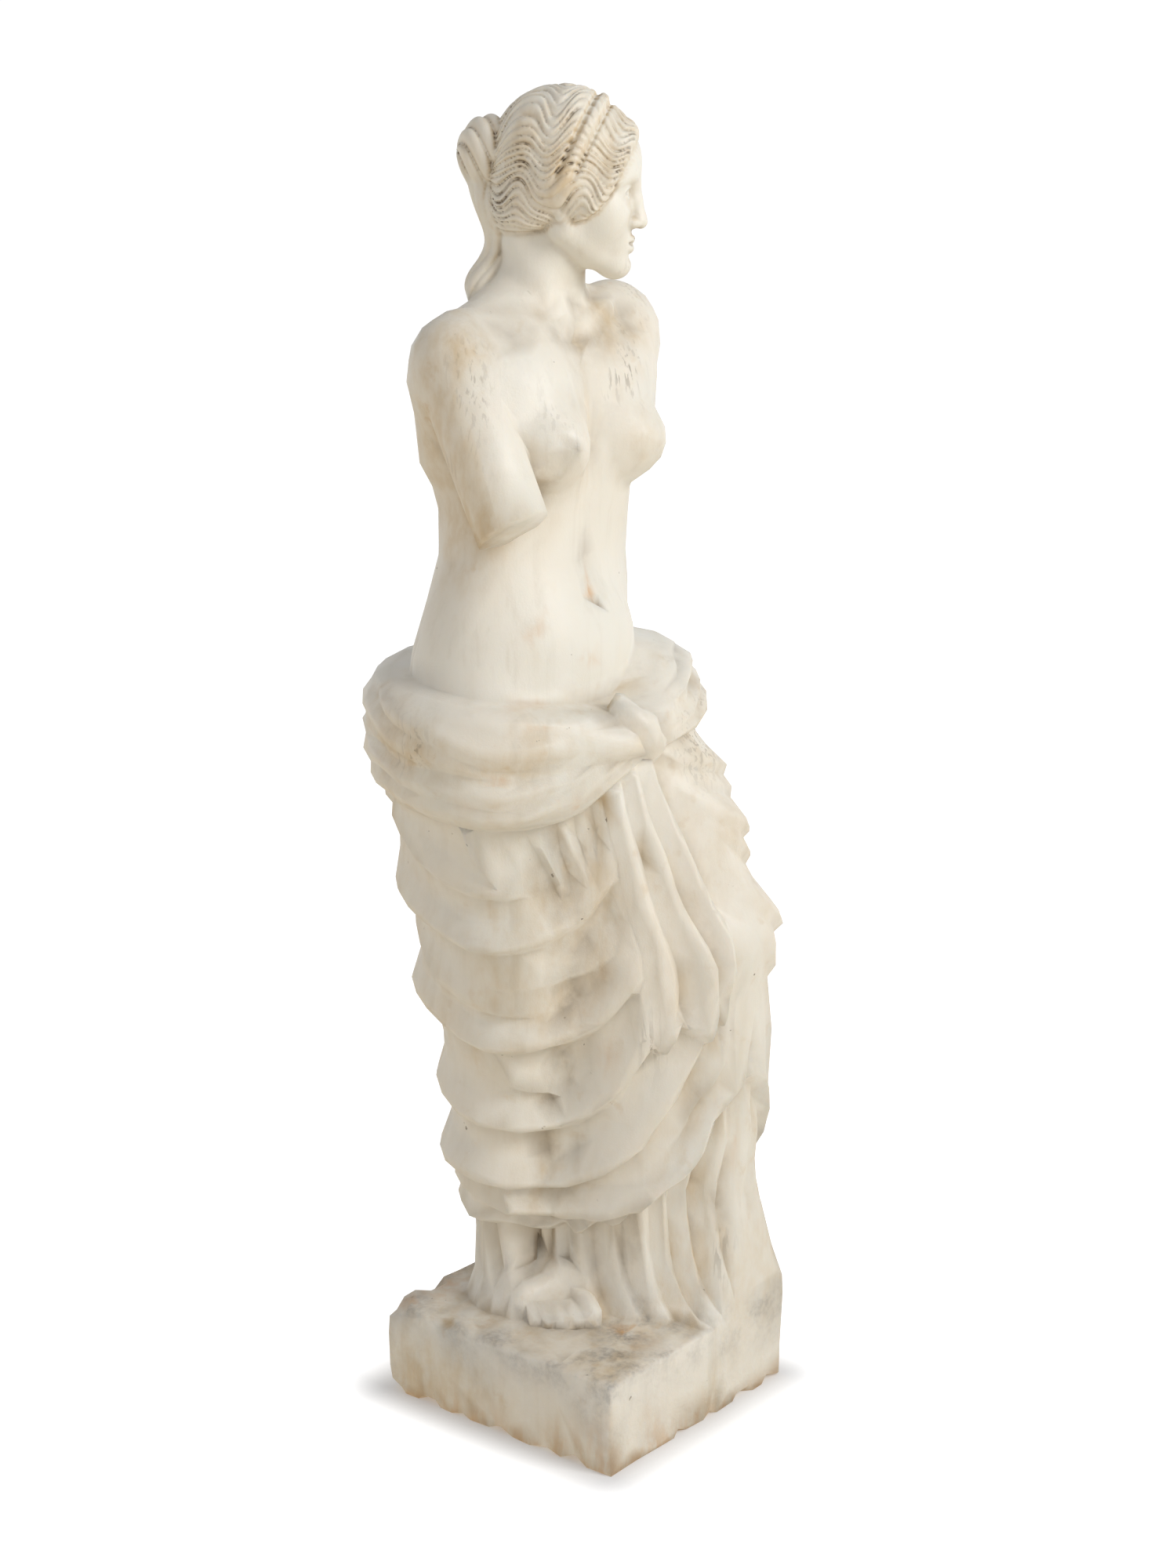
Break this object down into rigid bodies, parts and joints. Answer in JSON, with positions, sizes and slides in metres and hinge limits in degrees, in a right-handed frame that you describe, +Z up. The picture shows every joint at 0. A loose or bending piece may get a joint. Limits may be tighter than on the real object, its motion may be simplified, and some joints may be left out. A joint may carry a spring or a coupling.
{
  "type": "statue",
  "caption": "Half-draped classical goddess standing on a rough rectangular block, arms broken off, carved in one piece of weathered white marble.",
  "frame": {"origin": "middle of the block's flat underside, on the ground", "axes": "+Z up; the figure's chest faces -Y and her left side is +X; her head is turned to her left"},
  "size_m": [0.4291, 0.4182, 1.5508],
  "materials": {
    "marble": "worn honed marble, matt, with warm stains and grime in the hollows"
  },
  "bodies": {
    "root": {"statue": "marble"}
  },
  "joints": []
}
